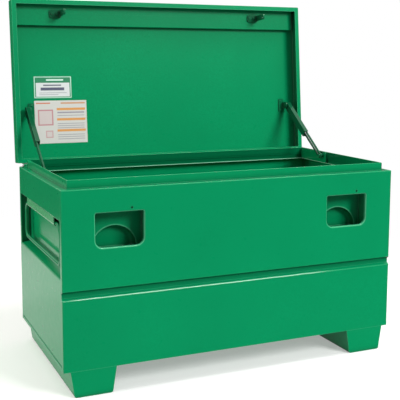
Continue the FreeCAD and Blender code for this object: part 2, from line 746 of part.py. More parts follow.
def card(size):
    """Plain card stuck inside the lid."""
    width, height, centre = size
    x0 = -half + card_left
    y = rear_y - centre
    return block(x0, y - height / 2, lid_inner_z - card_thickness, x0 + width, y + height / 2, lid_inner_z)


# ---- lid stays ----------------------------------------------------------------------------------
def on_hinge_circle(angle_above_front):
    """Point at the stay radius from the hinge pin, its angle measured up from the front."""
    angle = math.radians(angle_above_front)
    return FreeCAD.Vector(0, hinge_y - stay_radius * math.cos(angle), hinge_z + stay_radius * math.sin(angle))


stud_point = on_hinge_circle(stay_body_angle)
pivot_shut = on_hinge_circle(stay_body_angle + stay_fold_angle)
pivot_open = on_hinge_circle(stay_body_angle + stay_fold_angle + lid_open_angle)
reach_shut = (pivot_shut - stud_point).Length
reach_open = (pivot_open - stud_point).Length
stay_slope = stay_body_angle + (stay_fold_angle + lid_open_angle) / 2    # open, from straight down

stay_outer_x = -half + stay_inset - stay_channel_depth / 2
stay_inner_x = -half + stay_inset + stay_channel_depth / 2
bar_outer_x = stay_outer_x + stay_bar_inset
bar_shoulder_z = -stay_channel_length + stay_bar_shoulder
stay_bore = stay_pin_radius + touch_clearance
bar_inner_x = bar_outer_x + stay_bar_thickness


def hung(shape):
    """Turns a stay piece drawn hanging from the origin to its open slope on the lid pivot."""
    moved = shape.copy()
    moved.rotate(FreeCAD.Vector(0, 0, 0), X_AXIS, -stay_slope)
    moved.translate(FreeCAD.Vector(0, pivot_open.y, pivot_open.z))
    return moved


def left_stay_channel():
    """Upper half of a stay: channel with its web towards the middle of the box."""
    half_width = stay_channel_width / 2
    body = block(stay_outer_x, -half_width, -stay_channel_length, stay_inner_x, half_width, 0)
    head = rod_x(half_width, stay_outer_x, stay_inner_x, 0, 0)
    channel = fuse([body, head])
    inner_half = half_width - stay_sheet
    hollow = fuse([block(stay_outer_x - past, -inner_half, -stay_channel_length - past,
                         stay_inner_x - stay_sheet, inner_half, 0),
                   rod_x(inner_half, stay_outer_x - past, stay_inner_x - stay_sheet, 0, 0)])
    channel = channel.cut(hollow)
    return channel.cut(rod_x(stay_bore, stay_outer_x - past, stay_inner_x + past, 0, 0))


def left_stay_bar():
    """Slotted bar: full width inside the channel, narrower below it."""
    wide = stay_channel_width / 2 - stay_sheet
    narrow = stay_bar_width / 2
    tip = reach_open + stay_pin_radius + stay_slot_clearance + stay_bar_tip
    pieces = [
        rod_x(wide, bar_outer_x, bar_inner_x, 0, 0),
        block(bar_outer_x, -wide, bar_shoulder_z, bar_inner_x, wide, 0),
        block(bar_outer_x, -narrow, -tip + narrow, bar_inner_x, narrow, bar_shoulder_z),
        rod_x(narrow, bar_outer_x, bar_inner_x, 0, -tip + narrow),
    ]
    bar = fuse(pieces)
    slot_half = stay_pin_radius + stay_slot_clearance
    slot_top = -(reach_shut - stay_slot_spare)
    slot_low = -reach_open
    slot = fuse([block(bar_outer_x - past, -slot_half, slot_low, bar_inner_x + past, slot_half, slot_top),
                 rod_x(slot_half, bar_outer_x - past, bar_inner_x + past, 0, slot_top),
                 rod_x(slot_half, bar_outer_x - past, bar_inner_x + past, 0, slot_low)])
    return bar.cut(slot).cut(rod_x(stay_bore, bar_outer_x - past, bar_inner_x + past, 0, 0))


upstand_inner_x = -half + ledge_width + hem_thickness
bracket_inner_x = upstand_inner_x + stay_bracket_thickness
bracket_front_y = stud_point.y - stay_bracket_front
bracket_low_z = ledge_z - skirt_drop + sheet
bracket_top_z = ledge_z + upstand_height - stay_bracket_top_gap


def bracket_rivet_places():
    """Rivets that hold the stud bracket to the hem of the upstand."""
    rear_y_of_row = bracket_front_y + stay_bracket_length - bracket_rivet_inset
    return [(rear_y_of_row - i * bracket_rivet_pitch, bracket_top_z - bracket_rivet_margin)
            for i in range(bracket_rivet_count)]


def left_stay_bracket():
    """Plate on the inside of the upstand that carries the stud."""
    plate = block(upstand_inner_x, bracket_front_y, bracket_low_z,
                  bracket_inner_x, bracket_front_y + stay_bracket_length, bracket_top_z)
    plate = plate.makeFillet(stay_bracket_corner, edges_where(plate, lambda box: (
        box.XLength > stay_bracket_thickness - near)))
    plate = plate.cut(rod_x(stay_bore, upstand_inner_x - past, bracket_inner_x + past,
                            stud_point.y, stud_point.z))
    for y, z in bracket_rivet_places():
        plate = plate.cut(rod_x(rivet_radius, upstand_inner_x - past, bracket_inner_x + past, y, z))
    return plate


def left_bracket_rivets():
    """Domed rivets of the stud bracket."""
    rivets = [rivet(FreeCAD.Vector(bracket_inner_x, y, z), X_AXIS, stay_bracket_thickness)
              for y, z in bracket_rivet_places()]
    return Part.makeCompound(rivets)


def left_stay_stud():
    """Shouldered stud on which the slotted bar slides."""
    y = stud_point.y
    z = stud_point.z
    head_x = bar_inner_x + side_play
    face_x = head_x + stay_head_thickness
    stud = fuse([rod_x(stay_pin_radius, upstand_inner_x, head_x, y, z),
                 rod_x(stay_collar_radius, bracket_inner_x, bar_outer_x - side_play, y, z),
                 rod_x(stay_head_radius, head_x, face_x, y, z)])
    return stud.makeFillet(stay_head_edge, edges_where(stud, lambda box: box.XMin > face_x - near))


tab_outer_x = stay_inner_x + side_play
tab_inner_x = tab_outer_x + stay_tab_thickness


def lid_bracket_rivet_places():
    """Rivets in the foot of the lid bracket, on the shut lid."""
    x = (tab_inner_x + tab_outer_x + stay_foot_width) / 2
    reach = stay_foot_length / 2 - stay_foot_margin
    return [(x, pivot_shut.y - reach), (x, pivot_shut.y + reach)]


def left_stay_lid_bracket():
    """Angle on the lid that carries the upper end of a stay, drawn on the shut lid."""
    y = pivot_shut.y
    z = pivot_shut.z
    foot_low = lid_inner_z - stay_tab_thickness
    tab = fuse([rod_x(stay_tab_half_width, tab_outer_x, tab_inner_x, y, z),
                block(tab_outer_x, y - stay_tab_half_width, z,
                      tab_inner_x, y + stay_tab_half_width, lid_inner_z)])
    foot = block(tab_outer_x, y - stay_foot_length / 2, foot_low,
                 tab_outer_x + stay_foot_width, y + stay_foot_length / 2, lid_inner_z)
    foot = foot.makeFillet(stay_foot_corner, edges_where(foot, lambda box: (
        box.XMin > tab_inner_x + past and box.ZLength > stay_tab_thickness - near)))
    bracket = fuse([tab, foot])
    pin_seat = stay_pin_radius + touch_clearance / 2
    bracket = bracket.cut(rod_x(pin_seat, tab_outer_x - past, tab_inner_x + past, y, z))
    for rivet_x, rivet_y in lid_bracket_rivet_places():
        bracket = bracket.cut(rod_z(rivet_radius, foot_low - past, lid_inner_z + past, rivet_x, rivet_y))
    return bracket


def left_lid_bracket_rivets():
    """Two domed rivets through the foot of the lid bracket."""
    down = FreeCAD.Vector(0, 0, -1)
    rivets = [rivet(FreeCAD.Vector(x, y, lid_inner_z - stay_tab_thickness), down, stay_tab_thickness)
              for x, y in lid_bracket_rivet_places()]
    return Part.makeCompound(rivets)


def left_stay_pivot():
    """Pin through the lid bracket, the channel and the bar, headed at both ends."""
    y = pivot_shut.y
    z = pivot_shut.z
    head_x = bar_outer_x - side_play
    return fuse([rod_x(stay_pin_radius, head_x, tab_inner_x, y, z),
                 rod_x(stay_head_radius, head_x - stay_head_thickness, head_x, y, z),
                 rod_x(stay_head_radius, tab_inner_x, tab_inner_x + stay_head_thickness, y, z)])


# ---- handles ------------------------------------------------------------------------------------
handle_x = -half + handle_inset
handle_z = ledge_z - handle_axis_drop
middle_y = (front_y + rear_y) / 2


def left_handle_strap():
    """Trough that hangs from the recess roof and cradles the handle rod."""
    inner = handle_rod_radius + strap_clearance
    outer = inner + strap_thickness
    y0 = middle_y - strap_length / 2
    y1 = middle_y + strap_length / 2
    roof = ledge_z - recess_top
    body = fuse([block(handle_x - outer, y0, handle_z, handle_x + outer, y1, roof),
                 rod_y(outer, y0, y1, handle_x, handle_z)])
    trough = fuse([block(handle_x - inner, y0 - past, handle_z, handle_x + inner, y1 + past, roof + past),
                   rod_y(inner, y0 - past, y1 + past, handle_x, handle_z)])
    return body.cut(trough)


def left_handle():
    """Drop handle: one rod bent to a ring, its ends meeting inside the strap."""
    reach = handle_width / 2
    low = handle_z - handle_drop
    corners = [(middle_y + reach, handle_z, handle_top_bend), (middle_y + reach, low, handle_grip_bend),
               (middle_y - reach, low, handle_grip_bend), (middle_y - reach, handle_z, handle_top_bend)]
    start = FreeCAD.Vector(handle_x, middle_y + handle_joint, handle_z)
    finish = FreeCAD.Vector(handle_x, middle_y - handle_joint, handle_z)
    stops = [start] + [FreeCAD.Vector(handle_x, y, z) for y, z, _ in corners] + [finish]
    edges = []
    at = start
    for i, (y, z, radius) in enumerate(corners):
        here = stops[i + 1]
        into = (here - stops[i]).normalize()
        out = (stops[i + 2] - here).normalize()
        begin = here - into * radius
        end = here + out * radius
        centre = begin + out * radius
        middle = centre + (here - centre).normalize() * radius
        edges.append(Part.LineSegment(at, begin).toShape())
        edges.append(Part.Arc(begin, middle, end).toShape())
        at = end
    edges.append(Part.LineSegment(at, finish).toShape())
    ring_path = Part.Wire(edges)
    section = Part.Wire(Part.makeCircle(handle_rod_radius, start, Y_AXIS))
    return ring_path.makePipeShell([section], True, True)


# ---- write every node ---------------------------------------------------------------------------
save(front_panel(), "front_panel")
save(rear_panel(), "rear_panel")
save_pair(left_side_panel(), "side_panel")
save_pair(left_recess_ends(), "recess_ends")
save(floor_pan(), "floor_pan")
save(rim_frame(), "rim_frame")
save_pair(left_skid(), "skid")
save_pair(left_skid_caps(), "skid_caps")
save_pair(left_lock_housing(), "lock_housing")
save_pair(left_lock_scoop(), "lock_scoop")

save(hinge_leaf(False, 0), "hinge_body_leaf")
save(opened(hinge_leaf(True, 1)), "hinge_lid_leaf")
save(hinge_pin(), "hinge_pin")
save(hinge_rivets(body_leaf_rivet_z), "hinge_body_rivets")
save(opened(hinge_rivets(lid_leaf_rivet_z)), "hinge_lid_rivets")

save(opened(lid_pan()), "lid_pan")
save(opened(lid_stiffener()), "lid_stiffener")
save(opened(lock_tongue(-pocket_offset)), "left_lock_tongue")
save(opened(lock_tongue(pocket_offset)), "right_lock_tongue")
save(opened(tongue_bolts(-pocket_offset)), "left_tongue_bolts")
save(opened(tongue_bolts(pocket_offset)), "right_tongue_bolts")
save(opened(card(upper_card)), "upper_card")
save(opened(card(lower_card)), "lower_card")

save_pair(hung(left_stay_channel()), "stay_channel")
save_pair(hung(left_stay_bar()), "stay_bar")
save_pair(left_stay_bracket(), "stay_bracket")
save_pair(left_bracket_rivets(), "bracket_rivets")
save_pair(left_stay_stud(), "stay_stud")
save_pair(opened(left_stay_lid_bracket()), "stay_lid_bracket")
save_pair(opened(left_lid_bracket_rivets()), "lid_bracket_rivets")
save_pair(opened(left_stay_pivot()), "stay_pivot")

save_pair(left_handle_strap(), "handle_strap")
save_pair(left_handle(), "handle")

print("hinge axis", round(hinge_y, 3), round(hinge_z, 3))
print("stay pivot, open", round(pivot_open.y, 3), round(pivot_open.z, 3), "reach", round(reach_open, 2))
print("stay stud", round(stud_point.y, 3), round(stud_point.z, 3), "reach shut", round(reach_shut, 2))
print("handle axis", round(handle_x, 3), round(handle_z, 3), "front", round(front_y, 3))
print("tongue eye, shut", round(tongue_y, 3), round(tongue_tip_z + eye_margin, 3))
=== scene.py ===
import bpy
import bmesh
import json
import math
import random
from mathutils import Matrix, Vector


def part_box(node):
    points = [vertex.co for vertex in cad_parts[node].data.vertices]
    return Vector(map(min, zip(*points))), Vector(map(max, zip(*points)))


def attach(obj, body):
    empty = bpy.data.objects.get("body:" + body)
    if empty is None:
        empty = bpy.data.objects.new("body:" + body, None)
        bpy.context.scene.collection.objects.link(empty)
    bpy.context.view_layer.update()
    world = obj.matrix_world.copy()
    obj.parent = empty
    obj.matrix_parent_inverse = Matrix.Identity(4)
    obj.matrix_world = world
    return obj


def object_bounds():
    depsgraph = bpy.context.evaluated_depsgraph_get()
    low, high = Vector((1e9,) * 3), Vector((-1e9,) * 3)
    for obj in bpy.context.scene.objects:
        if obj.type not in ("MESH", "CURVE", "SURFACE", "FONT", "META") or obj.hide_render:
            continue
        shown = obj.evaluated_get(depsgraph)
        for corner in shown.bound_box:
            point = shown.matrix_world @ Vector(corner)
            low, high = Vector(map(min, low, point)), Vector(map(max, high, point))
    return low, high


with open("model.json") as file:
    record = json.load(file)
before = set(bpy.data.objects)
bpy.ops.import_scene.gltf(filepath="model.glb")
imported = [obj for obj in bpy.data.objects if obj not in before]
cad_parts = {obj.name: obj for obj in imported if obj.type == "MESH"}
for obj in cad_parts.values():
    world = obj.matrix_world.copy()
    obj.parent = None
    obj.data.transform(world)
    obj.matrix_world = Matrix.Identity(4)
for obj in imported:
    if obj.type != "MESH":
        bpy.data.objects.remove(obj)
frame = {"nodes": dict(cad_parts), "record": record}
cadLow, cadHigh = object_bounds()
nodes = frame["nodes"]
scene = bpy.context.scene
print("frame loaded:", len(nodes), "nodes")

# the camera stands in front of the left corner, above the open mouth
viewpoint = {
    "lens": 74.534,
    "sensor": 36.0,
    "shiftUp": -0.10,
    "place": (-1.2234, -2.8062, 1.0654),
    "yaw": -23.814,      # degrees, seen from above
    "pitch": -7.055,
    "roll": -0.227,
    "clip": (0.05, 80.0),
}

cameraData = bpy.data.cameras.new("camera")
cameraData.sensor_width = viewpoint["sensor"]
cameraData.lens = viewpoint["lens"]
cameraData.shift_y = viewpoint["shiftUp"]
cameraData.clip_start, cameraData.clip_end = viewpoint["clip"]
camera = bpy.data.objects.new("camera", cameraData)
scene.collection.objects.link(camera)
turn = (Matrix.Rotation(math.radians(viewpoint["yaw"]), 4, "Z")
        @ Matrix.Rotation(math.radians(viewpoint["pitch"]), 4, "X")
        @ Matrix.Rotation(math.radians(viewpoint["roll"]), 4, "Y")
        @ Matrix.Rotation(math.radians(90), 4, "X"))
camera.matrix_world = Matrix.Translation(viewpoint["place"]) @ turn
scene.camera = camera
print("camera set")


# short ways to build a material out of nodes
def newMaterial(name):
    material = bpy.data.materials.new(name)
    material.use_nodes = True
    tree = material.node_tree
    return material, tree, tree.nodes["Principled BSDF"]


def addNode(tree, kind, settings=None, **inputs):
    node = tree.nodes.new(kind)
    for key, value in (settings or {}).items():
        setattr(node, key, value)
    for key, value in inputs.items():
        node.inputs[key].default_value = value
    return node


def objectSpace(tree, scale=(1, 1, 1)):
    place = addNode(tree, "ShaderNodeTexCoord")
    mapping = addNode(tree, "ShaderNodeMapping", Scale=scale)
    tree.links.new(place.outputs["Object"], mapping.inputs["Vector"])
    return mapping.outputs["Vector"]


def split(tree, vector):
    node = addNode(tree, "ShaderNodeSeparateXYZ")
    tree.links.new(vector, node.inputs["Vector"])
    return [node.outputs[axis] for axis in "XYZ"]


def placeOf(tree):
    return split(tree, objectSpace(tree))     # metres, in the frame of the whole box


def facingOf(tree):
    return split(tree, addNode(tree, "ShaderNodeNewGeometry").outputs["Normal"])


def noiseOf(tree, vector, scale, detail=3.0, rough=0.5):
    noise = addNode(tree, "ShaderNodeTexNoise", Scale=scale, Detail=detail, Roughness=rough)
    tree.links.new(vector, noise.inputs["Vector"])
    return noise.outputs["Fac"]


def remap(tree, value, low, high, toLow, toHigh):
    node = addNode(tree, "ShaderNodeMapRange")
    ends = {"From Min": low, "From Max": high, "To Min": toLow, "To Max": toHigh}
    for key, number in ends.items():
        node.inputs[key].default_value = number
    tree.links.new(value, node.inputs["Value"])
    return node.outputs["Result"]


def blendColour(tree, factor, first, second):
    node = addNode(tree, "ShaderNodeMix", {"data_type": "RGBA"})
    for socket, colour in (("A", first), ("B", second)):
        target = [s for s in node.inputs if s.name == socket and s.type == "RGBA"][0]
        if isinstance(colour, tuple):
            target.default_value = (*colour, 1.0)
        else:
            tree.links.new(colour, target)
    tree.links.new(factor, node.inputs["Factor"])
    return [s for s in node.outputs if s.type == "RGBA"][0]


def mathNode(tree, operation, first, second=None):
    node = addNode(tree, "ShaderNodeMath", {"operation": operation})
    for socket, value in ((0, first), (1, second)):
        if value is None:
            continue
        if isinstance(value, (int, float)):
            node.inputs[socket].default_value = value
        else:
            tree.links.new(value, node.inputs[socket])
    return node.outputs[0]


def product(tree, first, *others):
    for value in others:
        first = mathNode(tree, "MULTIPLY", first, value)
    return first


def over(tree, value, limit):
    return mathNode(tree, "GREATER_THAN", value, limit)


def under(tree, value, limit):
    return mathNode(tree, "LESS_THAN", value, limit)


def diagonal(tree, first, second):
    squares = [mathNode(tree, "POWER", side, 2.0) for side in (first, second)]
    return mathNode(tree, "SQRT", mathNode(tree, "ADD", *squares))


def bumpFrom(tree, height, strength, distance, normal=None):
    bump = addNode(tree, "ShaderNodeBump", Strength=strength, Distance=distance)
    tree.links.new(height, bump.inputs["Height"])
    if normal is not None:
        tree.links.new(normal, bump.inputs["Normal"])
    return bump.outputs["Normal"]


def tinted(colour, factor):
    return tuple(min(1.0, channel * factor) for channel in colour)


# painted highlight on rounded edges and painted shade in tight corners, found on the mesh itself
corners = {
    "samples": 6,
    "edgeRadius": 0.0030,          # metres
    "edgeTurn": (0.995, 0.80),     # cosines between which an edge counts as rounded, for its painted highlight and its wear
    "creviceReach": 0.022,
    "creviceLight": (0.30, 0.90),  # light that reaches a deep corner, and an open face
}


def edgeMask(tree):
    rounded = addNode(tree, "ShaderNodeBevel", {"samples": corners["samples"]},
                      Radius=corners["edgeRadius"])
    flat = addNode(tree, "ShaderNodeNewGeometry")
    turned = addNode(tree, "ShaderNodeVectorMath", {"operation": "DOT_PRODUCT"})
    tree.links.new(rounded.outputs["Normal"], turned.inputs[0])
    tree.links.new(flat.outputs["Normal"], turned.inputs[1])
    return remap(tree, turned.outputs["Value"], *corners["edgeTurn"], 0.0, 1.0)


# painted shade: 1 in tight corners, where little light reaches
def creviceMask(tree):
    around = addNode(tree, "ShaderNodeAmbientOcclusion", {"samples": corners["samples"]},
                     Distance=corners["creviceReach"])
    return remap(tree, around.outputs["AO"], *corners["creviceLight"], 1.0, 0.0)


# powder coat: colours are linear, lengths in metres
# a noise is its scale, detail and roughness; a range is the stretch of it that is used
coat = {
    "shell": (0.0006, 0.285, 0.106),
    "lid": (0.0006, 0.280, 0.104),
    "fittings": (0.0006, 0.215, 0.080),
    # strap: the shell's green made lighter and warmer as a painted reflection
    "strap": (0.100, 0.430, 0.200),
    # stays, brackets and tongues: the shell's same green darkened as painted shade
    "stay": (0.0006, 0.085, 0.032),
    "bracket": (0.0006, 0.150, 0.056),
    "tongue": (0.0006, 0.120, 0.046),
    "recessShade": 0.42,           # painted shade: end plates of the handle recesses, darker than the shell
    "scoopShade": 0.82,            # painted shade: scoops of the lock bays, darker than the shell
    "housingLift": 1.15,           # painted light: lock housings lighter than the fittings
    "cloudNoise": (2.3, 4.0, 0.55),    # broad patches
    "cloudRange": (0.30, 0.70),
    "cloudTones": (0.88, 1.07),    # darker and lighter
    "speckNoise": (38.0, 4.0, 0.6),
    "speckRange": (0.56, 0.80),
    "speckTone": 0.72,
    "speckShare": 0.16,
    "grainNoise": (150.0, 2.0, 0.7),   # flecks about 7 mm across
    "grainRange": (0.35, 0.65),
    "grainShade": 0.04,
    "lidGrain": 0.13,
    "gloss": 0.30,                 # roughness
    "glossSpread": 0.08,
    "glossRange": (0.25, 0.75),
    "index": 1.40,
    "underGloss": 0.10,
    "lacquer": 1.0,                # clear top layer
    "skidLacquer": 0.72,
    "lacquerGloss": 0.10,
    "lacquerIndex": 1.45,
    "peelNoise": (420.0, 2.0),     # orange peel, about 2 mm across
    "peelBump": (0.5, 0.00003),    # strength and depth
    "waveNoise": (5.0, 2.0),       # slow waves in the sheet
    "waveBump": (0.25, 0.0006),
    # painted highlight along rounded edges: a lighter green, and how much of it
    "edgeTone": (0.10, 0.50, 0.27),
    "edgeShare": 0.42,
    # painted shade in tight corners, against the paint
    "creviceTone": 0.45,
    "bare": (0.42, 0.41, 0.39),    # metal where parts rub
    "chipNoise": (160.0, 5.0, 0.7),
    "chipRange": (0.50, 0.58),
}
lineCore = 0.3           # part of a painted highlight line that has its full tone
turnedInward = -0.5      # a face whose direction is below this looks forward or to the left


def paleLine(tree, offset, size):
    # a painted highlight line: full along the middle of the line, gone at its border
    half = size["half"]
    return remap(tree, mathNode(tree, "ABSOLUTE", offset), half * lineCore, half, size["share"], 0.0)


# painted highlight along the rolled edge of the lock pockets
pocketEdge = {
    "fromMiddle": 0.421,
    "width": 0.160,
    "heights": (0.474, 0.584),
    "corners": (0.025, 0.004),     # radius at the bottom and at the top
    "outset": 0.0015,              # the painted highlight lies this far outside the clear opening
    "half": 0.0028,
    "share": 0.70,
}


def pocketRing(tree):
    size = pocketEdge
    x, y, z = placeOf(tree)
    low, high = size["heights"]
    rise = mathNode(tree, "SUBTRACT", z, (low + high) / 2)
    aside = mathNode(tree, "SUBTRACT", mathNode(tree, "ABSOLUTE", x), size["fromMiddle"])
    corner = remap(tree, over(tree, rise, 0.0), 0.0, 1.0, *size["corners"])
    beyond = []
    for offset, half in ((aside, size["width"] / 2), (rise, (high - low) / 2)):
        past = mathNode(tree, "SUBTRACT", mathNode(tree, "ABSOLUTE", offset), half)
        beyond.append(mathNode(tree, "ADD", past, corner))
    outside = diagonal(tree, *[mathNode(tree, "MAXIMUM", past, 0.0) for past in beyond])
    within = mathNode(tree, "MINIMUM", mathNode(tree, "MAXIMUM", *beyond), 0.0)
    gap = mathNode(tree, "SUBTRACT", mathNode(tree, "ADD", outside, within), corner)
    return paleLine(tree, mathNode(tree, "SUBTRACT", gap, size["outset"]), size)


# painted highlight along the rolled edge of the arch in the back of each lock housing
archEdge = {
    "fromMiddle": 0.421,
    "foot": 0.458,
    "halfWidth": 0.075,
    "rise": 0.073,
    "half": 0.0050,
    "share": 0.55,
}


def archLine(tree):
    size = archEdge
    x, y, z = placeOf(tree)
    aside = mathNode(tree, "SUBTRACT", mathNode(tree, "ABSOLUTE", x), size["fromMiddle"])
    upward = mathNode(tree, "SUBTRACT", z, size["foot"])
    reach = diagonal(tree, mathNode(tree, "DIVIDE", aside, size["halfWidth"]),
                     mathNode(tree, "DIVIDE", upward, size["rise"]))
    offset = product(tree, mathNode(tree, "SUBTRACT", reach, 1.0), size["rise"])
    facingX, facingY, facingZ = facingOf(tree)
    return product(tree, paleLine(tree, offset, size), under(tree, facingY, turnedInward))


# painted shade on the inside of the rim, where its far faces stand in each other's shade, and a painted
# highlight on the lip at their foot
rimShadow = {
    "behind": 0.19,
    "atEnd": 0.55,
    "lipTop": (0.6465, 0.6480),    # below, the lip takes no painted shade; at the far faces it takes the painted highlight
    "top": 0.6885,
    "shade": 0.40,
    "lip": (0.40, 0.85, 0.60),
}


def rimInside(tree):
    size = rimShadow
    x, y, z = placeOf(tree)
    facingX, facingY, facingZ = facingOf(tree)
    rear = product(tree, over(tree, y, size["behind"]), under(tree, facingY, turnedInward))
    end = product(tree, over(tree, x, size["atEnd"]), under(tree, facingX, turnedInward))
    return product(tree, mathNode(tree, "MAXIMUM", rear, end),
                   remap(tree, z, *size["lipTop"], 0.0, 1.0), under(tree, z, size["top"]))


def rimLip(tree):
    size = rimShadow
    x, y, z = placeOf(tree)
    far = mathNode(tree, "MAXIMUM", over(tree, y, size["behind"]), over(tree, x, size["atEnd"]))
    return product(tree, far, under(tree, z, size["lipTop"][0]))


# painted shade in the pressed groove across the front: dark under its top edge, fading downwards
grooveShadow = {
    "heights": (0.3200, 0.3400),
    "top": 0.3460,
    "depths": (0.0008, 0.0110),    # behind the front face
    "shade": 0.45,
}


def grooveShade(tree):
    size = grooveShadow
    x, y, z = placeOf(tree)
    near, far = [cadLow[1] + depth for depth in size["depths"]]
    return product(tree, remap(tree, z, *size["heights"], 0.0, 1.0), under(tree, z, size["top"]),
                   over(tree, y, near), under(tree, y, far))


def powderCoat(name, colour, wear=0.0, gloss=coat["gloss"], edgeShare=1.0,
               flecks=coat["grainShade"], lacquer=coat["lacquer"], extras=()):
    material, tree, shader = newMaterial(name)
    vector = objectSpace(tree)
    clouds, specks, grain, peel, waves = [
        noiseOf(tree, vector, *coat[kind + "Noise"])
        for kind in ("cloud", "speck", "grain", "peel", "wave")]
    paint = blendColour(tree, remap(tree, clouds, *coat["cloudRange"], 0.0, 1.0),
                        *[tinted(colour, tone) for tone in coat["cloudTones"]])
    paint = blendColour(tree, remap(tree, specks, *coat["speckRange"], 0.0, coat["speckShare"]),
                        paint, tinted(colour, coat["speckTone"]))
    paint = blendColour(tree, remap(tree, grain, *coat["grainRange"], 0.0, 1.0),
                        tinted(colour, 1 - flecks), paint)
    # painted shade in tight corners
    paint = blendColour(tree, creviceMask(tree), paint, tinted(colour, coat["creviceTone"]))
    edges = edgeMask(tree)
    # painted highlight along the rounded edges
    edgeAmount = product(tree, edges, coat["edgeShare"] * edgeShare)
    paint = blendColour(tree, edgeAmount, paint, coat["edgeTone"])
    for maskOf, tone in extras:
        paint = blendColour(tree, maskOf(tree), paint, tone)
    if wear > 0:
        # bare metal where parts rub, broken up along the edges
        chips = noiseOf(tree, vector, *coat["chipNoise"])
        worn = product(tree, edges, remap(tree, chips, *coat["chipRange"], 0.0, 1.0), wear)
        paint = blendColour(tree, worn, paint, coat["bare"])
        tree.links.new(worn, shader.inputs["Metallic"])
    spread = coat["glossSpread"] / 2
    tree.links.new(paint, shader.inputs["Base Color"])
    tree.links.new(remap(tree, specks, *coat["glossRange"], gloss - spread, gloss + spread),
                   shader.inputs["Roughness"])
    normal = bumpFrom(tree, waves, *coat["waveBump"], bumpFrom(tree, peel, *coat["peelBump"]))
    tree.links.new(normal, shader.inputs["Normal"])
    shader.inputs["IOR"].default_value = coat["index"]
    shader.inputs["Specular IOR Level"].default_value = coat["underGloss"]
    shader.inputs["Coat Weight"].default_value = lacquer
    shader.inputs["Coat Roughness"].default_value = coat["lacquerGloss"]
    shader.inputs["Coat IOR"].default_value = coat["lacquerIndex"]
    return material


shellPaint = powderCoat("shellPaint", coat["shell"])
lidPaint = powderCoat("lidPaint", coat["lid"], edgeShare=1.7, flecks=coat["lidGrain"])
fittingPaint = powderCoat("fittingPaint", coat["fittings"], wear=0.12, edgeShare=0.5)
weldPaint = powderCoat("weldPaint", coat["fittings"], gloss=0.34)
# handle straps: painted reflection in a lighter, warmer green, with more painted edge highlight
strapPaint = powderCoat("strapPaint", coat["strap"], gloss=0.26, edgeShare=1.8)
# stays, tongues and brackets: painted shade in darker greens
stayPaint = powderCoat("stayPaint", coat["stay"], wear=0.12, edgeShare=0.35)
tonguePaint = powderCoat("tonguePaint", coat["tongue"], wear=0.15, edgeShare=0.35)
bracketPaint = powderCoat("bracketPaint", coat["bracket"], edgeShare=0.3)
# lock bay scoops: the shell's green darkened as painted shade, with more painted edge highlight
scoopPaint = powderCoat("scoopPaint", tinted(coat["shell"], coat["scoopShade"]), edgeShare=2.0)
# lock housings: the fittings' green lightened as painted light, with a painted highlight along the arch
housingPaint = powderCoat("housingPaint", tinted(coat["fittings"], coat["housingLift"]), edgeShare=1.4,
                          extras=((archLine, coat["edgeTone"]),))
# front panel: painted highlight on the pockets' rolled edges, painted shade in the groove
frontPaint = powderCoat("frontPaint", coat["shell"], extras=(
    (pocketRing, coat["edgeTone"]), (grooveShade, tinted(coat["shell"], grooveShadow["shade"]))))
# rim: painted shade on its far inner faces, painted highlight on the lip below them
rimPaint = powderCoat("rimPaint", coat["shell"], extras=(
    (rimInside, tinted(coat["shell"], rimShadow["shade"])), (rimLip, rimShadow["lip"])))
skidPaint = powderCoat("skidPaint", coat["shell"], lacquer=coat["skidLacquer"])
# recess end plates: the shell's green darkened as painted shade
recessPaint = powderCoat("recessPaint", tinted(coat["shell"], coat["recessShade"]))
print("powder coats made")

# turned steel of the pins and studs
steel = {
    "tones": ((0.50, 0.49, 0.47), (0.30, 0.29, 0.28)),
    "gloss": (0.24, 0.44),
    "ringNoise": (900.0, 2.0),
    "ringRange": (0.30, 0.70),
    "ringStretch": (1.0, 0.02, 0.02),
    "ringBump": (0.4, 0.00004),
    "stainNoise": (60.0, 4.0, 0.6),
    "stainRange": (0.35, 0.75),
}


def turnedSteel():
    material, tree, shader = newMaterial("turnedSteel")
    rings = noiseOf(tree, objectSpace(tree, steel["ringStretch"]), *steel["ringNoise"])
    stain = noiseOf(tree, objectSpace(tree), *steel["stainNoise"])
    stain = remap(tree, stain, *steel["stainRange"], 0.0, 1.0)
    tree.links.new(blendColour(tree, stain, *steel["tones"]), shader.inputs["Base Color"])
    tree.links.new(remap(tree, rings, *steel["ringRange"], *steel["gloss"]), shader.inputs["Roughness"])
    tree.links.new(bumpFrom(tree, rings, *steel["ringBump"]), shader.inputs["Normal"])
    shader.inputs["Metallic"].default_value = 1.0
    return material


pinSteel = turnedSteel()
print("steel made")

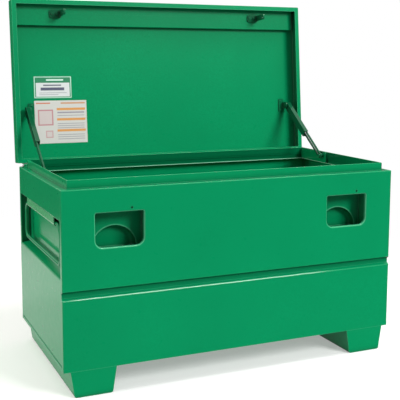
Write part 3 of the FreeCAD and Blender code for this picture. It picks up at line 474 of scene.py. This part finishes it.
# plain cards inside the lid
# a block is its left, bottom, right and top, as parts of the card, and its ink
upperPrint = {
    "field": (0.012, 0.270, 0.115),
    "blocks": [
        ((0.012, 0.025, 0.988, 0.975), (0.48, 0.78, 0.62)),
        ((0.034, 0.060, 0.966, 0.940), (0.010, 0.225, 0.095)),
        ((0.058, 0.085, 0.942, 0.700), (0.68, 0.71, 0.70)),
        ((0.250, 0.560, 0.720, 0.620), (0.15, 0.16, 0.20)),
        ((0.180, 0.360, 0.800, 0.490), (0.09, 0.10, 0.16)),
        ((0.140, 0.240, 0.860, 0.265), (0.34, 0.36, 0.38)),
        ((0.140, 0.160, 0.640, 0.185), (0.34, 0.36, 0.38)),
        ((0.330, 0.790, 0.780, 0.860), (0.62, 0.82, 0.72)),
    ],
}
lowerPrint = {
    "field": (0.62, 0.62, 0.58),
    "blocks": [
        ((0.030, 0.925, 0.300, 0.955), (0.62, 0.22, 0.12)),
        ((0.500, 0.920, 0.970, 0.955), (0.58, 0.30, 0.16)),
        ((0.420, 0.770, 0.970, 0.825), (0.70, 0.31, 0.08)),
        ((0.420, 0.530, 0.970, 0.585), (0.70, 0.31, 0.08)),
        ((0.420, 0.270, 0.970, 0.325), (0.70, 0.31, 0.08)),
        ((0.060, 0.420, 0.350, 0.790), (0.52, 0.24, 0.26)),
        ((0.085, 0.450, 0.325, 0.760), (0.62, 0.54, 0.52)),
        ((0.200, 0.130, 0.340, 0.300), (0.56, 0.34, 0.34)),
        ((0.220, 0.155, 0.320, 0.275), (0.62, 0.56, 0.54)),
    ],
    "rules": [(0.700, 0.735), (0.640, 0.655), (0.450, 0.465), (0.400, 0.415), (0.350, 0.365),
              (0.190, 0.205), (0.140, 0.155), (0.090, 0.105)],
    "ruleEnds": (0.430, 0.950),
    "ruleTone": (0.33, 0.31, 0.35),
}
cardStock = {
    "grainNoise": (300.0, 3.0, 0.6),
    "grainRange": (0.45, 0.80),
    "grainTone": (0.60, 0.58, 0.54),
    "grainShare": 0.12,
    "grainBump": (0.2, 0.00004),
    "glossRange": (0.30, 0.70),
    "gloss": (0.38, 0.50),
}
ruleLeft, ruleRight = lowerPrint["ruleEnds"]
for low, high in lowerPrint["rules"]:
    lowerPrint["blocks"].append(((ruleLeft, low, ruleRight, high), lowerPrint["ruleTone"]))


def printedCard(name, nodeName, printed):
    # the blocks follow the card's own width and height, on the leaning lid
    material, tree, shader = newMaterial(name)
    low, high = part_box(nodeName)
    x, y, z = placeOf(tree)
    across = remap(tree, x, low[0], high[0], 0.0, 1.0)
    upward = remap(tree, z, low[2], high[2], 0.0, 1.0)
    colour = printed["field"]
    for (left, bottom, right, top), ink in printed["blocks"]:
        inside = product(tree, over(tree, across, left), under(tree, across, right),
                         over(tree, upward, bottom), under(tree, upward, top))
        colour = blendColour(tree, inside, colour, ink)
    grain = noiseOf(tree, objectSpace(tree), *cardStock["grainNoise"])
    fibres = remap(tree, grain, *cardStock["grainRange"], 0.0, cardStock["grainShare"])
    tree.links.new(blendColour(tree, fibres, colour, cardStock["grainTone"]),
                   shader.inputs["Base Color"])
    tree.links.new(remap(tree, grain, *cardStock["glossRange"], *cardStock["gloss"]),
                   shader.inputs["Roughness"])
    tree.links.new(bumpFrom(tree, grain, *cardStock["grainBump"]), shader.inputs["Normal"])
    return material


# finishes by the record's slots, then the pieces that have a coat of their own
finishes = {
    "shell_paint": shellPaint,
    "lid_paint": lidPaint,
    "fitting_paint": fittingPaint,
    "plain_steel": pinSteel,
    "card_white": printedCard("upperCardPrint", "upper_card", upperPrint),
    "card_orange": printedCard("lowerCardPrint", "lower_card", lowerPrint),
}
ownPaint = {
    "front_panel": frontPaint, "rim_frame": rimPaint, "recess_ends": recessPaint,
    "lock_housing": housingPaint, "lock_scoop": scoopPaint,
    "lock_tongue": tonguePaint, "tongue_bolts": tonguePaint,
    "handle_strap": strapPaint, "_skid": skidPaint, "skid_caps": skidPaint,
    "stay_channel": stayPaint, "stay_bar": stayPaint,
    "stay_lid_bracket": bracketPaint, "lid_bracket_rivets": bracketPaint, "stay_pivot": bracketPaint,
}


def paintNode(node, material):
    if not node.data.materials:
        node.data.materials.append(material)
    for slot in node.material_slots:
        slot.material = material


slotOf = {part["node"]: part["material_slot"] for part in frame["record"]["subparts"]}
for nodeName, node in nodes.items():
    own = [paint for ending, paint in ownPaint.items() if nodeName.endswith(ending)]
    paintNode(node, own[-1] if own else finishes[slotOf[nodeName]])
print("frame nodes finished")


def meshPiece(name, mesh, material, body):
    mesh.normal_update()
    data = bpy.data.meshes.new(name)
    mesh.to_mesh(data)
    mesh.free()
    for face in data.polygons:
        face.use_smooth = True
    piece = bpy.data.objects.new(name, data)
    scene.collection.objects.link(piece)
    data.materials.append(material)
    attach(piece, body)
    return piece


# a weld bead: a round string of overlapping puddles
puddles = {
    "sides": 10,
    "step": 0.42,         # between rings, in radii
    "ripple": 0.10,
    "unevenness": 0.04,
    "endTaper": 0.25,     # radius at the very end, then what each ring adds
    "taperStep": 0.35,
    "fewest": 4,
}


def addBead(mesh, start, end, radius, seed):
    dice = random.Random(seed)
    start, end = Vector(start), Vector(end)
    along = (end - start).normalized()
    aside = along.orthogonal().normalized()
    upward = along.cross(aside)
    sides, uneven = puddles["sides"], puddles["unevenness"]
    count = max(puddles["fewest"], int((end - start).length / (radius * puddles["step"])))
    rings = []
    for i in range(count + 1):
        ripple = (1.0 + puddles["ripple"] * math.cos(i * math.pi * 0.5)
                  + dice.uniform(-uneven, uneven))
        taper = min(1.0, puddles["endTaper"] + puddles["taperStep"] * min(i, count - i))
        centre = start.lerp(end, i / count)
        ring = []
        for k in range(sides):
            angle = math.tau * k / sides
            spoke = aside * math.cos(angle) + upward * math.sin(angle)
            ring.append(mesh.verts.new(centre + spoke * radius * ripple * taper))
        rings.append(ring)
    for near, far in zip(rings, rings[1:]):
        for k in range(sides):
            mesh.faces.new((near[k], near[(k + 1) % sides], far[(k + 1) % sides], far[k]))
    mesh.faces.new(list(reversed(rings[0])))
    mesh.faces.new(rings[-1])


def stitches(mesh, start, end, size, seed):
    # evenly spaced short beads along a seam
    start, end = Vector(start), Vector(end)
    halfBead = (end - start).normalized() * size["length"] / 2
    for i in range(size["count"]):
        middle = start.lerp(end, (i + 0.5) / size["count"])
        addBead(mesh, middle - halfBead, middle + halfBead, size["radius"], seed + i)


def addSpot(mesh, centre, radii, around, upward):
    # a flattened ball, half of it in the sheet
    rings = []
    for j in range(upward + 1):
        lean = math.pi * j / upward
        ring = []
        for k in range(1 if j in (0, upward) else around):
            angle = math.tau * k / around
            spoke = (math.sin(lean) * math.cos(angle), math.sin(lean) * math.sin(angle), math.cos(lean))
            ring.append(mesh.verts.new([c + s * r for c, s, r in zip(centre, spoke, radii)]))
        rings.append(ring)
    for upper, lower in zip(rings, rings[1:]):
        for k in range(around):
            nextK = (k + 1) % around
            if len(upper) == 1:
                mesh.faces.new((upper[0], lower[k], lower[nextK]))
            elif len(lower) == 1:
                mesh.faces.new((upper[k], lower[0], upper[nextK]))
            else:
                mesh.faces.new((upper[k], lower[k], lower[nextK], upper[nextK]))


# the kinds of weld, in metres; beads are sunk a little into the seam
welds = {
    "skid": {"count": 6, "length": 0.034, "radius": 0.0022, "sunk": 0.0006,
             "endGap": 0.030, "seeds": (11, 31)},
    "strap": {"count": 5, "length": 0.026, "radius": 0.0018, "sunk": 0.0006, "seeds": (51, 71)},
    "housing": {"count": 4, "length": 0.022, "radius": 0.0020, "sheet": 0.002,
                "endGap": 0.010, "seeds": (91, 101), "footSeed": 121},
    "recess": {"radius": 0.0014, "floorGap": 0.012, "roofGap": 0.004,
               "inset": 0.0015, "seeds": (131, 141)},
    "rim": {"radius": 0.0012, "mitre": 0.0007, "inset": 0.026, "height": 0.027,
            "topGap": 0.002, "mitreGap": 0.004, "seeds": (151, 161)},
    "spots": {"count": 12, "radius": 0.0035, "rise": 0.0004, "height": 0.006,
              "endGap": 0.045, "segments": (20, 10)},
}

for side, label in ((-1, "left"), (1, "right")):
    # along both long edges of the skid, under the floor
    size = welds["skid"]
    low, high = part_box(label + "_skid")
    seam, gap = high[2] - size["sunk"], size["endGap"]
    mesh = bmesh.new()
    for x, seed in zip((low[0] + size["sunk"], high[0] - size["sunk"]), size["seeds"]):
        stitches(mesh, (x, low[1] + gap, seam), (x, high[1] - gap, seam), size, seed)
    meshPiece(label + "SkidWelds", mesh, weldPaint, "box")

    # along both edges of the handle strap
    size = welds["strap"]
    low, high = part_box(label + "_handle_strap")
    seam = high[2] - size["sunk"]
    mesh = bmesh.new()
    for x, seed in zip((low[0], high[0]), size["seeds"]):
        stitches(mesh, (x, low[1], seam), (x, high[1], seam), size, seed)
    meshPiece(label + "StrapWelds", mesh, weldPaint, "box")

    # down both sides of the lock housing's flange and along its foot
    size = welds["housing"]
    low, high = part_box(label + "_lock_housing")
    seam, gap = low[1] + size["sheet"], size["endGap"]
    mesh = bmesh.new()
    for x, seed in zip((low[0], high[0]), size["seeds"]):
        stitches(mesh, (x, seam, low[2] + gap), (x, seam, high[2] - gap), size, seed)
    stitches(mesh, (low[0] + gap, seam, low[2]), (high[0] - gap, seam, low[2]), size,
             size["footSeed"])
    meshPiece(label + "HousingWelds", mesh, weldPaint, "box")

    # up the inner corners of the handle recess
    size = welds["recess"]
    low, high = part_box(label + "_recess_ends")
    inner = high[0] if side < 0 else low[0]
    mesh = bmesh.new()
    for y, seed in zip((low[1] + size["inset"], high[1] - size["inset"]), size["seeds"]):
        addBead(mesh, (inner, y, low[2] + size["floorGap"]), (inner, y, high[2] - size["roofGap"]),
                size["radius"], seed)
    meshPiece(label + "RecessWelds", mesh, weldPaint, "box")

# closed corners of the rim, with the mitre line across the ledge
size = welds["rim"]
low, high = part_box("rim_frame")
ledge = high[2] - size["height"]
mitreZ = ledge - size["mitre"] / 2
mesh = bmesh.new()
for x, inward in ((low[0], 1), (high[0], -1)):
    for y, deeper in ((low[1], 1), (high[1], -1)):
        cornerX = x + inward * size["inset"]
        cornerY = y + deeper * size["inset"]
        addBead(mesh, (cornerX, cornerY, ledge), (cornerX, cornerY, high[2] - size["topGap"]),
                size["radius"], size["seeds"][0])
        addBead(mesh, (x + inward * size["mitreGap"], y + deeper * size["mitreGap"], mitreZ),
                (cornerX, cornerY, mitreZ), size["mitre"], size["seeds"][1])
meshPiece("rimCornerWelds", mesh, weldPaint, "box")

# spot welds through the rear panel into the floor pan's lip
size = welds["spots"]
low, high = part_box("rear_panel")
span = high[0] - low[0] - 2 * size["endGap"]
radii = (size["radius"], size["rise"], size["radius"])
mesh = bmesh.new()
for i in range(size["count"]):
    x = low[0] + size["endGap"] + span * i / (size["count"] - 1)
    addSpot(mesh, (x, high[1], low[2] + size["height"]), radii, *size["segments"])
meshPiece("rearSpotWelds", mesh, weldPaint, "box")
print("welds made")

# pale paper floor that fades into the backdrop
paper = {
    "centre": (-0.35, 0.55),
    "radius": 2.3,
    "segments": 128,
    "fade": (0.50, 0.98),          # it fades out between these parts of the radius
    "tone": (0.70, 0.70, 0.695),
    "grainNoise": (30.0, 3.0, 0.6),
    "grainRange": (0.30, 0.70),
    "grainTone": 0.985,
    "glow": 0.48,
    "bounce": 0.50,                # share of its light that reaches the paint again
    "mirror": 0.54,                # share of it that the paint mirrors
    "front": (-0.30, -0.40),       # between these depths that share dies away
    "gloss": 0.9,
    "shine": 0.1,
    "drop": 0.0005,                # below the skids
}

mesh = bmesh.new()
bmesh.ops.create_circle(mesh, cap_ends=True, radius=paper["radius"], segments=paper["segments"])
floorData = bpy.data.meshes.new("studioFloor")
mesh.to_mesh(floorData)
mesh.free()
studioFloor = bpy.data.objects.new("studioFloor", floorData)
scene.collection.objects.link(studioFloor)
floorPaper, tree, shader = newMaterial("floorPaper")
vector = objectSpace(tree)
grain = remap(tree, noiseOf(tree, vector, *paper["grainNoise"]), *paper["grainRange"], 0.0, 1.0)
tone = blendColour(tree, grain, paper["tone"], tinted(paper["tone"], paper["grainTone"]))
x, y, z = split(tree, vector)
nearFront, farFront = [depth - paper["centre"][1] for depth in paper["front"]]
ray = addNode(tree, "ShaderNodeLightPath")
unmirrored = product(tree, remap(tree, y, nearFront, farFront, 1 - paper["mirror"], 1.0),
                     ray.outputs["Is Glossy Ray"])
unbounced = product(tree, ray.outputs["Is Diffuse Ray"], 1 - paper["bounce"])
tone = blendColour(tree, mathNode(tree, "MAXIMUM", unmirrored, unbounced), tone, (0.0, 0.0, 0.0))
tree.links.new(tone, shader.inputs["Base Color"])
tree.links.new(tone, shader.inputs["Emission Color"])
shader.inputs["Emission Strength"].default_value = paper["glow"]
shader.inputs["Roughness"].default_value = paper["gloss"]
shader.inputs["Specular IOR Level"].default_value = paper["shine"]
distance = addNode(tree, "ShaderNodeVectorMath", {"operation": "LENGTH"})
tree.links.new(vector, distance.inputs[0])
fadeStart, fadeEnd = [paper["radius"] * share for share in paper["fade"]]
tree.links.new(remap(tree, distance.outputs["Value"], fadeStart, fadeEnd, 1.0, 0.0),
               shader.inputs["Alpha"])
floorData.materials.append(floorPaper)
studioFloor.location = (*paper["centre"], cadLow[2] - paper["drop"])
print("floor laid")

# light from all round: even on matt paint, shaped in what the gloss mirrors
surround = {
    "backdrop": 1.0,               # what the camera sees beyond the floor
    "ambient": 0.42,
    "horizon": 0.02,               # mirrored near the horizon
    "sky": (0.24, 0.85),           # mirrored higher up, in front and behind
    "skyHeights": (0.10, 0.34),
    "skyTurn": (-0.2, 0.2),        # where front becomes behind
    "wall": 0.55,                  # pale wall in front, to the left
    "wallAside": (-0.10, -0.45),
    "wallAhead": (-0.10, -0.35),
}

world = bpy.data.worlds.new("studio")
world.use_nodes = True
tree = world.node_tree
background = tree.nodes["Background"]
ray = addNode(tree, "ShaderNodeLightPath")
glossyRay = ray.outputs["Is Glossy Ray"]
x, y, z = split(tree, addNode(tree, "ShaderNodeTexCoord").outputs["Generated"])
sky = product(tree, remap(tree, z, *surround["skyHeights"], 0.0, 1.0),
              remap(tree, y, *surround["skyTurn"], *surround["sky"]))
sky = mathNode(tree, "MAXIMUM", sky, surround["horizon"])
wall = product(tree, remap(tree, x, *surround["wallAside"], 0.0, surround["wall"]),
               remap(tree, y, *surround["wallAhead"], 0.0, 1.0))
mirrored = product(tree, mathNode(tree, "MAXIMUM", sky, wall), glossyRay)
even = remap(tree, glossyRay, 0.0, 1.0, surround["ambient"], 0.0)
seen = product(tree, ray.outputs["Is Camera Ray"], surround["backdrop"])
strength = mathNode(tree, "MAXIMUM", mathNode(tree, "MAXIMUM", mirrored, even), seen)
tree.links.new(strength, background.inputs["Strength"])
background.inputs["Color"].default_value = (1.0, 1.0, 1.0, 1.0)
scene.world = world

# lamps, in watts and metres: mirrored ones show in the gloss, lighting ones shine on the paint
lamps = {
    "key": {"watts": 572.0, "size": (3.0, 2.6), "place": (3.4, -6.4, 4.6)},
    "keyMirror": {"watts": 175.0, "size": (3.0, 2.6), "place": (3.4, -6.4, 4.6),
                  "mirrored": True, "lighting": False},
    "left": {"watts": 210.0, "size": (2.6, 2.2), "place": (-4.6, 1.5, 2.0), "tone": (1.0, 0.98, 0.86)},
    "top": {"watts": 50.0, "size": (4.2, 4.2), "place": (0.0, 0.4, 4.6)},
    "strip": {"watts": 85.0, "size": (2.4, 0.7), "place": (1.7, -0.6, 4.6), "aim": (1.7, -0.6, 0.0),
              "mirrored": True},
}


def softbox(name, watts, size, place, aim=(0.0, 0.0, 0.6), tone=(1.0, 1.0, 1.0),
            mirrored=False, lighting=True):
    data = bpy.data.lights.new(name, "AREA")
    data.color = tone
    data.shape = "RECTANGLE"
    data.size, data.size_y = size
    data.energy = watts
    light = bpy.data.objects.new(name, data)
    scene.collection.objects.link(light)
    light.location = place
    light.rotation_mode = "QUATERNION"
    light.rotation_quaternion = (Vector(aim) - Vector(place)).to_track_quat("-Z", "Y")
    light.visible_glossy = mirrored
    light.visible_diffuse = lighting


for lampName, lamp in lamps.items():
    softbox(lampName + "Softbox", **lamp)
scene.view_settings.view_transform = "Standard"
print("studio lit")
